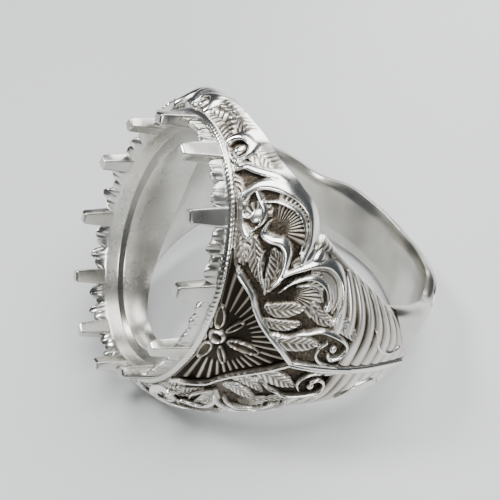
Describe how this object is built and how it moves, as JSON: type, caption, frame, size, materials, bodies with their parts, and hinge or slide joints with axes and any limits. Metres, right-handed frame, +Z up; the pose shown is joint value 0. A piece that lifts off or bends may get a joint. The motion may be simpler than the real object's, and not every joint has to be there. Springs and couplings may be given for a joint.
{
  "type": "ring setting",
  "caption": "Open silver ring mount with an oval claw collar, carved wings and a plain band, waiting for its stone.",
  "frame": {"origin": "centre of the bounding box at its base, on the surface that the ring lies on", "axes": "+Z up; the collar for the stone faces -Y and a little up; the finger hole leans from +Z towards +Y"},
  "size_m": [0.0246, 0.0288, 0.0213],
  "materials": {
    "silver": "polished cast silver, oxidised dark in the carving"
  },
  "bodies": {
    "root": {"ring_setting": "silver"}
  },
  "joints": []
}
